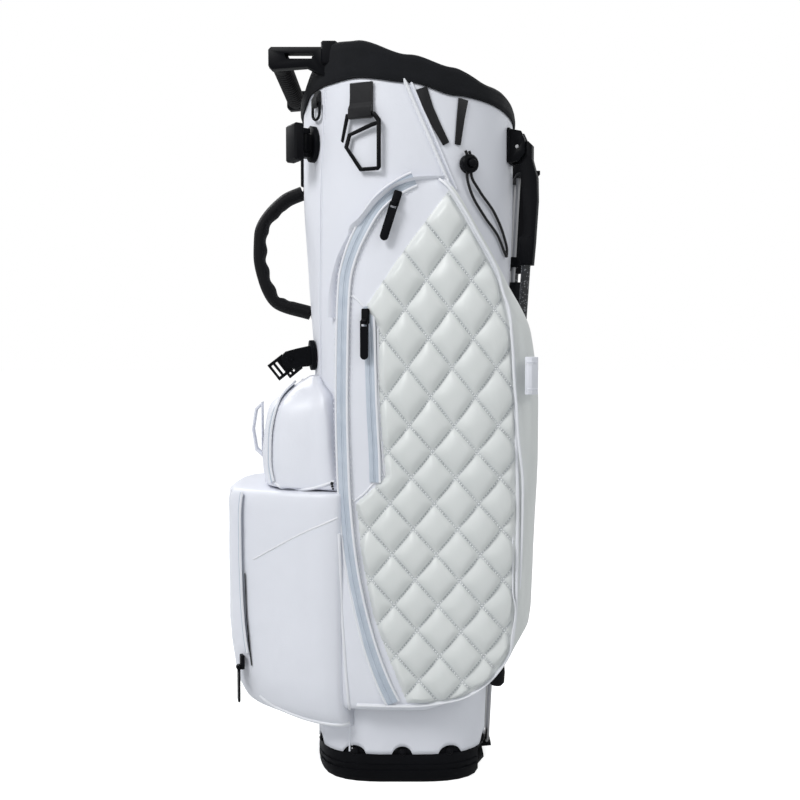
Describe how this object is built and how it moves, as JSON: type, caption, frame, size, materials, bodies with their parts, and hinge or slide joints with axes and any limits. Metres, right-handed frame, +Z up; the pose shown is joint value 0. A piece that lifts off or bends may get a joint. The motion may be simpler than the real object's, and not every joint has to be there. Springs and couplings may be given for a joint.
{
  "type": "golf stand bag",
  "caption": "Golf staff bag with folding stand legs, club dividers, handles, zipped pockets and strap clips, standing upright on its base.",
  "frame": {"origin": "middle of the underside of the base cup, on the ground", "axes": "+Z up along the bag, -X the front with the carry handle, +X the back with the legs, -Y the near side"},
  "size_m": [0.3775, 0.2888, 0.857],
  "materials": {
    "white_leather": "satin grained coated cloth",
    "quilted_leather": "satin, quilted in stitched diamonds",
    "black_plastic": "fine moulded texture",
    "cuff_fabric": "soft charcoal cloth",
    "webbing": "woven black",
    "rubber": "matt soft rubber",
    "carbon": "dark woven-look coating",
    "steel": "bright drawn",
    "divider_cloth": "dark brushed cloth"
  },
  "bodies": {
    "root": {"ball_pocket": "white_leather", "base_cup": "black_plastic", "base_flap_pin": "steel", "body_shell": "white_leather", "bungee_cord": "webbing", "carry_handle": "rubber", "cord_tape_front": "webbing", "cord_tape_rear": "webbing", "d_ring_strap": "webbing", "full_length_divider": "divider_cloth", "garment_pocket_far": "quilted_leather", "garment_pocket_near": "quilted_leather", "hip_pad": "cuff_fabric", "leg_bracket_far": "black_plastic", "leg_bracket_near": "black_plastic", "leg_pin_far": "steel", "leg_pin_near": "steel", "leg_strap_loop": "white_leather", "lift_handle_frame": "black_plastic", "lift_handle_grip": "rubber", "pocket_pull_loop": "white_leather", "rod_guide_lower": "black_plastic", "rod_guide_upper": "black_plastic", "stay_far": "steel", "stay_near": "steel", "strap_plate_lower_far": "black_plastic", "strap_plate_lower_near": "black_plastic", "strap_plate_upper_far": "black_plastic", "strap_plate_upper_near": "black_plastic", "top_cuff": "cuff_fabric", "top_divider": "black_plastic", "top_frame": "black_plastic", "towel_ring_strap": "webbing", "upper_front_pocket": "white_leather"},
    "leg_near": {"leg_connector_near": "black_plastic", "leg_tube_near": "carbon", "leg_foot_near": "rubber"},
    "leg_far": {"leg_connector_far": "black_plastic", "leg_tube_far": "carbon", "leg_foot_far": "rubber"},
    "drive": {"drive_rod": "steel", "drive_yoke": "black_plastic"},
    "flap": {"base_flap": "black_plastic"},
    "clip_near": {"strap_clip_near": "black_plastic"},
    "clip_far": {"strap_clip_far": "black_plastic"},
    "ladder_near": {"ladder_lock_near": "black_plastic"},
    "ladder_far": {"ladder_lock_far": "black_plastic"},
    "towel_hook": {"towel_ring": "black_plastic"},
    "small_ring": {"d_ring": "black_plastic"},
    "lock_barrel": {"cord_lock": "black_plastic"},
    "lock_button": {"cord_lock_button": "black_plastic"},
    "garment_zip_near_runner": {"garment_zip_near_slider": "black_plastic"},
    "garment_zip_near_puller": {"garment_zip_near_tab": "rubber"},
    "garment_zip_far_runner": {"garment_zip_far_slider": "black_plastic"},
    "garment_zip_far_puller": {"garment_zip_far_tab": "rubber"},
    "valuables_zip_runner": {"valuables_zip_slider": "black_plastic"},
    "valuables_zip_puller": {"valuables_zip_tab": "rubber"},
    "ball_zip_runner": {"ball_zip_slider": "black_plastic"},
    "ball_zip_puller": {"ball_zip_tab": "rubber"}
  },
  "joints": [
    {"name": "leg_swing_near", "type": "hinge", "parent": "root", "child": "leg_near", "pos_m": [0.13822, -0.05483, 0.746], "axis": [-0.3419, -0.9397, 0], "range_deg": [0, 30], "stiffness_Nm_per_rad": 0.6, "springref_deg": -11.46},
    {"name": "leg_swing_far", "type": "hinge", "parent": "root", "child": "leg_far", "pos_m": [0.13822, 0.05483, 0.746], "axis": [0.3419, -0.9397, 0], "range_deg": [0, 30]},
    {"name": "drive_rod_lift", "type": "slide", "parent": "root", "child": "drive", "axis": [0.0513, 0, 0.9987], "range_m": [0, 0.0085]},
    {"name": "base_flap_swing", "type": "hinge", "parent": "root", "child": "flap", "pos_m": [0.024, 0, 0.0075], "axis": [0, -1, 0], "range_deg": [0, 6]},
    {"name": "strap_clip_swivel_near", "type": "hinge", "parent": "root", "child": "clip_near", "pos_m": [-0.11302, -0.08082, 0.746], "axis": [0, 0, 1], "range_deg": [-40, 40]},
    {"name": "ladder_lock_turn_near", "type": "hinge", "parent": "root", "child": "ladder_near", "pos_m": [-0.13229, -0.05731, 0.4965], "axis": [0.2553, -0.9669, 0], "range_deg": [-60, 60]},
    {"name": "strap_clip_swivel_far", "type": "hinge", "parent": "root", "child": "clip_far", "pos_m": [-0.11302, 0.08082, 0.746], "axis": [0, 0, 1], "range_deg": [-40, 40]},
    {"name": "ladder_lock_turn_far", "type": "hinge", "parent": "root", "child": "ladder_far", "pos_m": [-0.13229, 0.05731, 0.4965], "axis": [-0.2553, -0.9669, 0], "range_deg": [-60, 60]},
    {"name": "towel_ring_swing", "type": "hinge", "parent": "root", "child": "towel_hook", "pos_m": [-0.04632, -0.12338, 0.768], "axis": [-0.9391, 0.3437, 0], "range_deg": [0, 110]},
    {"name": "d_ring_swing", "type": "hinge", "parent": "root", "child": "small_ring", "pos_m": [-0.09884, -0.08451, 0.789], "axis": [-0.6116, 0.7912, 0], "range_deg": [0, 90]},
    {"name": "cord_lock_slide", "type": "slide", "parent": "root", "child": "lock_barrel", "axis": [0, 0, 1], "range_m": [0, 0.006]},
    {"name": "cord_lock_press", "type": "slide", "parent": "lock_barrel", "child": "lock_button", "axis": [-0.4463, 0.8949, 0], "range_m": [0, 0.0022], "stiffness_N_per_m": 300, "springref_m": -0.002},
    {"name": "garment_zip_near_slide", "type": "slide", "parent": "root", "child": "garment_zip_near_runner", "axis": [-0.2986, 0.0314, -0.9539], "range_m": [0, 0.0372]},
    {"name": "garment_zip_near_tab_swing", "type": "hinge", "parent": "garment_zip_near_runner", "child": "garment_zip_near_puller", "pos_m": [-0.00873, -0.14104, 0.66828], "axis": [-0.9489, 0.097, 0.3002], "range_deg": [0, 150]},
    {"name": "garment_zip_far_slide", "type": "slide", "parent": "root", "child": "garment_zip_far_runner", "axis": [-0.2986, -0.0314, -0.9539], "range_m": [0, 0.0372]},
    {"name": "garment_zip_far_tab_swing", "type": "hinge", "parent": "garment_zip_far_runner", "child": "garment_zip_far_puller", "pos_m": [-0.00873, 0.14104, 0.66828], "axis": [0.9489, 0.097, -0.3002], "range_deg": [0, 150]},
    {"name": "valuables_zip_slide", "type": "slide", "parent": "root", "child": "valuables_zip_runner", "axis": [0.0904, 0.0031, -0.9959], "range_m": [0, 0.1501]},
    {"name": "valuables_zip_tab_swing", "type": "hinge", "parent": "valuables_zip_runner", "child": "valuables_zip_puller", "pos_m": [-0.04224, -0.13656, 0.539], "axis": [-0.9396, 0.3422, 0], "range_deg": [0, 150]},
    {"name": "ball_zip_slide", "type": "slide", "parent": "root", "child": "ball_zip_runner", "axis": [-0.018, -0.0143, 0.9997], "range_m": [0, 0.1495]},
    {"name": "ball_zip_tab_swing", "type": "hinge", "parent": "ball_zip_runner", "child": "ball_zip_puller", "pos_m": [-0.19283, -0.08446, 0.134], "axis": [-0.3885, 0.9215, 0], "range_deg": [0, 150]}
  ],
  "couplings": [
    {"joint": "leg_swing_far", "follows": "leg_swing_near", "ratio": 1},
    {"joint": "drive_rod_lift", "follows": "leg_swing_near", "m_per_rad": 0.0147},
    {"joint": "base_flap_swing", "follows": "leg_swing_near", "ratio": 0.168}
  ]
}
